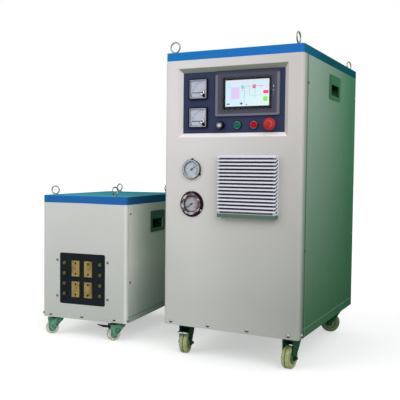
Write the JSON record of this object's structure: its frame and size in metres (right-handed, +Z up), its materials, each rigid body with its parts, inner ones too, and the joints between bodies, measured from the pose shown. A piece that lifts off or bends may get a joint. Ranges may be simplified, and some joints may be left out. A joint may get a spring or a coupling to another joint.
{
  "type": "induction heating machine",
  "caption": "Induction heater: power cabinet with recessed console and louvred filter, and a lower heating station with water-cooled coil terminals, both on swivel casters.",
  "frame": {"origin": "on the floor, under the middle of the whole machine's box", "axes": "+Z up, +Y from the front to the back, +X to the right of someone who stands at the console"},
  "size_m": [1.1174, 0.734, 1.0924],
  "materials": {
    "panel_paint": "satin powder coat, off-white",
    "lid_paint": "satin powder coat, blue",
    "side_paint": "satin powder coat, sage green",
    "station_lid_paint": "satin powder coat, blue",
    "station_paint": "satin powder coat, grey-green",
    "console_paint": "satin, navy",
    "bezel_plastic": "satin grey",
    "black_plastic": "satin black",
    "clear_glass": "clear",
    "gauge_steel": "polished rim",
    "zinc_steel": "zinc plated",
    "collar_chrome": "satin chrome",
    "grille_plastic": "satin white",
    "red_plastic": "gloss red",
    "green_plastic": "gloss green",
    "estop_plastic": "gloss red",
    "needle_paint": "matt black",
    "cold_aluminium": "machined",
    "module_plastic": "moulded black",
    "brass_fitting": "turned",
    "copper": "machined copper",
    "board_resin": "epoxy board, black",
    "core_iron": "laminated core",
    "caster_zinc": "green passivated zinc",
    "wheel_nylon": "cream nylon"
  },
  "bodies": {
    "power_cabinet": {"base_tray": "panel_paint", "front_panel": "panel_paint", "side_covers": "side_paint", "rear_panel": "panel_paint", "top_cover": "lid_paint", "grip_pockets": "side_paint", "lifting_eyes": "zinc_steel", "cover_screws": "zinc_steel", "console_plate": "console_paint", "screen_bezel": "bezel_plastic", "meter_cases": "black_plastic", "dial_windows": "clear_glass", "gauge_cases": "gauge_steel", "control_collars": "collar_chrome", "filter_grille": "grille_plastic", "fan_frame": "black_plastic", "cooling_plate": "cold_aluminium", "power_electronics": "module_plastic", "rear_connections": "brass_fitting", "caster_plates": "caster_zinc"},
    "heating_station": {"station_tray": "station_paint", "station_front_panel": "panel_paint", "station_covers": "station_paint", "station_top_cover": "station_lid_paint", "station_lifting_eyes": "zinc_steel", "station_screws": "zinc_steel", "terminal_board": "board_resin", "terminal_blocks": "copper", "water_nipples": "brass_fitting", "transformer_core": "core_iron", "transformer_windings": "copper", "station_caster_plates": "caster_zinc"},
    "upper_meter_needle": {"upper_meter_needle": "needle_paint"},
    "lower_meter_needle": {"lower_meter_needle": "needle_paint"},
    "power_knob": {"power_knob": "black_plastic"},
    "start_button": {"start_button": "green_plastic"},
    "stop_button": {"stop_button": "red_plastic"},
    "emergency_stem": {"emergency_stem": "black_plastic"},
    "emergency_stop": {"emergency_stop": "estop_plastic"},
    "upper_gauge_needle": {"upper_gauge_needle": "needle_paint"},
    "lower_gauge_needle": {"lower_gauge_needle": "needle_paint"},
    "fan_rotor": {"fan_rotor": "black_plastic"},
    "brake_pedal": {"brake_pedal": "black_plastic"},
    "cabinet_brake_pedal": {"cabinet_brake_pedal": "black_plastic"},
    "fork_front_left": {"fork_front_left": "caster_zinc"},
    "wheel_front_left": {"wheel_front_left": "wheel_nylon"},
    "station_fork_front_left": {"station_fork_front_left": "caster_zinc"},
    "station_wheel_front_left": {"station_wheel_front_left": "wheel_nylon"},
    "fork_front_right": {"fork_front_right": "caster_zinc"},
    "wheel_front_right": {"wheel_front_right": "wheel_nylon"},
    "station_fork_front_right": {"station_fork_front_right": "caster_zinc"},
    "station_wheel_front_right": {"station_wheel_front_right": "wheel_nylon"},
    "fork_rear_left": {"fork_rear_left": "caster_zinc"},
    "wheel_rear_left": {"wheel_rear_left": "wheel_nylon"},
    "station_fork_rear_left": {"station_fork_rear_left": "caster_zinc"},
    "station_wheel_rear_left": {"station_wheel_rear_left": "wheel_nylon"},
    "fork_rear_right": {"fork_rear_right": "caster_zinc"},
    "wheel_rear_right": {"wheel_rear_right": "wheel_nylon"},
    "station_fork_rear_right": {"station_fork_rear_right": "caster_zinc"},
    "station_wheel_rear_right": {"station_wheel_rear_right": "wheel_nylon"}
  },
  "joints": [
    {"name": "station_roll", "type": "slide", "parent": "power_cabinet", "child": "heating_station", "axis": [-1, 0, 0], "range_m": [-0.1, 0.5]},
    {"name": "swivel_front_left", "type": "hinge", "parent": "power_cabinet", "child": "fork_front_left", "pos_m": [0.10783, -0.252, 0.0375], "axis": [0, 0, 1], "continuous": true},
    {"name": "spin_front_left", "type": "hinge", "parent": "fork_front_left", "child": "wheel_front_left", "pos_m": [0.11217, -0.27662, 0.0375], "axis": [0.9848, 0.1736, 0], "continuous": true},
    {"name": "swivel_front_right", "type": "hinge", "parent": "power_cabinet", "child": "fork_front_right", "pos_m": [0.50383, -0.252, 0.0375], "axis": [0, 0, 1], "continuous": true},
    {"name": "spin_front_right", "type": "hinge", "parent": "fork_front_right", "child": "wheel_front_right", "pos_m": [0.50035, -0.27676, 0.0375], "axis": [0.9903, -0.1392, 0], "continuous": true},
    {"name": "swivel_rear_left", "type": "hinge", "parent": "power_cabinet", "child": "fork_rear_left", "pos_m": [0.10783, 0.291, 0.0375], "axis": [0, 0, 1], "continuous": true},
    {"name": "spin_rear_left", "type": "hinge", "parent": "fork_rear_left", "child": "wheel_rear_left", "pos_m": [0.08434, 0.28245, 0.0375], "axis": [0.342, -0.9397, 0], "continuous": true},
    {"name": "swivel_rear_right", "type": "hinge", "parent": "power_cabinet", "child": "fork_rear_right", "pos_m": [0.50383, 0.291, 0.0375], "axis": [0, 0, 1], "continuous": true},
    {"name": "spin_rear_right", "type": "hinge", "parent": "fork_rear_right", "child": "wheel_rear_right", "pos_m": [0.47921, 0.28666, 0.0375], "axis": [0.1736, -0.9848, 0], "continuous": true},
    {"name": "station_swivel_front_left", "type": "hinge", "parent": "heating_station", "child": "station_fork_front_left", "pos_m": [-0.46251, -0.27902, 0.025], "axis": [0, 0, 1], "continuous": true},
    {"name": "station_spin_front_left", "type": "hinge", "parent": "station_fork_front_left", "child": "station_wheel_front_left", "pos_m": [-0.47724, -0.29256, 0.025], "axis": [0.6769, -0.7361, 0], "continuous": true},
    {"name": "station_swivel_front_right", "type": "hinge", "parent": "heating_station", "child": "station_fork_front_right", "pos_m": [-0.1943, -0.24798, 0.025], "axis": [0, 0, 1], "continuous": true},
    {"name": "station_spin_front_right", "type": "hinge", "parent": "station_fork_front_right", "child": "station_wheel_front_right", "pos_m": [-0.20589, -0.26429, 0.025], "axis": [0.8151, -0.5793, 0], "continuous": true},
    {"name": "station_swivel_rear_left", "type": "hinge", "parent": "heating_station", "child": "station_fork_rear_left", "pos_m": [-0.51355, 0.16204, 0.025], "axis": [0, 0, 1], "continuous": true},
    {"name": "station_spin_rear_left", "type": "hinge", "parent": "station_fork_rear_left", "child": "station_wheel_rear_left", "pos_m": [-0.533, 0.16667, 0.025], "axis": [-0.2317, -0.9728, 0], "continuous": true},
    {"name": "station_swivel_rear_right", "type": "hinge", "parent": "heating_station", "child": "station_fork_rear_right", "pos_m": [-0.21851, 0.19618, 0.025], "axis": [0, 0, 1], "continuous": true},
    {"name": "station_spin_rear_right", "type": "hinge", "parent": "station_fork_rear_right", "child": "station_wheel_rear_right", "pos_m": [-0.19935, 0.20189, 0.025], "axis": [-0.2857, 0.9583, 0], "continuous": true},
    {"name": "brake_pedal_hinge", "type": "hinge", "parent": "station_fork_front_right", "child": "brake_pedal", "pos_m": [-0.21284, -0.27407, 0.05293], "axis": [0.8151, -0.5793, 0], "range_deg": [0, 25]},
    {"name": "cabinet_brake_pedal_hinge", "type": "hinge", "parent": "fork_front_left", "child": "cabinet_brake_pedal", "pos_m": [0.11356, -0.2845, 0.07965], "axis": [0.9848, 0.1736, 0], "range_deg": [0, 25]},
    {"name": "upper_meter_needle_swing", "type": "hinge", "parent": "power_cabinet", "child": "upper_meter_needle", "pos_m": [0.19633, -0.333, 0.912], "axis": [0, 1, 0], "range_deg": [0, 90], "stiffness_Nm_per_rad": 0.005},
    {"name": "lower_meter_needle_swing", "type": "hinge", "parent": "power_cabinet", "child": "lower_meter_needle", "pos_m": [0.19633, -0.333, 0.816], "axis": [0, 1, 0], "range_deg": [0, 90], "stiffness_Nm_per_rad": 0.005},
    {"name": "upper_gauge_needle_swing", "type": "hinge", "parent": "power_cabinet", "child": "upper_gauge_needle", "pos_m": [0.16583, -0.347, 0.653], "axis": [0, 1, 0], "range_deg": [-188, 82], "stiffness_Nm_per_rad": 0.005},
    {"name": "lower_gauge_needle_swing", "type": "hinge", "parent": "power_cabinet", "child": "lower_gauge_needle", "pos_m": [0.16583, -0.347, 0.535], "axis": [0, 1, 0], "range_deg": [-11, 259], "stiffness_Nm_per_rad": 0.005},
    {"name": "knob_turn", "type": "hinge", "parent": "power_cabinet", "child": "power_knob", "pos_m": [0.26733, -0.33, 0.8], "axis": [0, 1, 0], "range_deg": [-150, 150]},
    {"name": "start_button_press", "type": "slide", "parent": "power_cabinet", "child": "start_button", "axis": [0, 1, 0], "range_m": [0, 0.004], "stiffness_N_per_m": 400},
    {"name": "stop_button_press", "type": "slide", "parent": "power_cabinet", "child": "stop_button", "axis": [0, 1, 0], "range_m": [0, 0.004], "stiffness_N_per_m": 400},
    {"name": "emergency_press", "type": "slide", "parent": "power_cabinet", "child": "emergency_stem", "axis": [0, 1, 0], "range_m": [0, 0.004], "stiffness_N_per_m": 800},
    {"name": "emergency_twist", "type": "hinge", "parent": "emergency_stem", "child": "emergency_stop", "pos_m": [0.44433, -0.35, 0.8], "axis": [0, 1, 0], "range_deg": [0, 35], "stiffness_Nm_per_rad": 0.08},
    {"name": "fan_spin", "type": "hinge", "parent": "power_cabinet", "child": "fan_rotor", "pos_m": [0.37383, -0.322, 0.598], "axis": [0, 1, 0], "continuous": true}
  ]
}
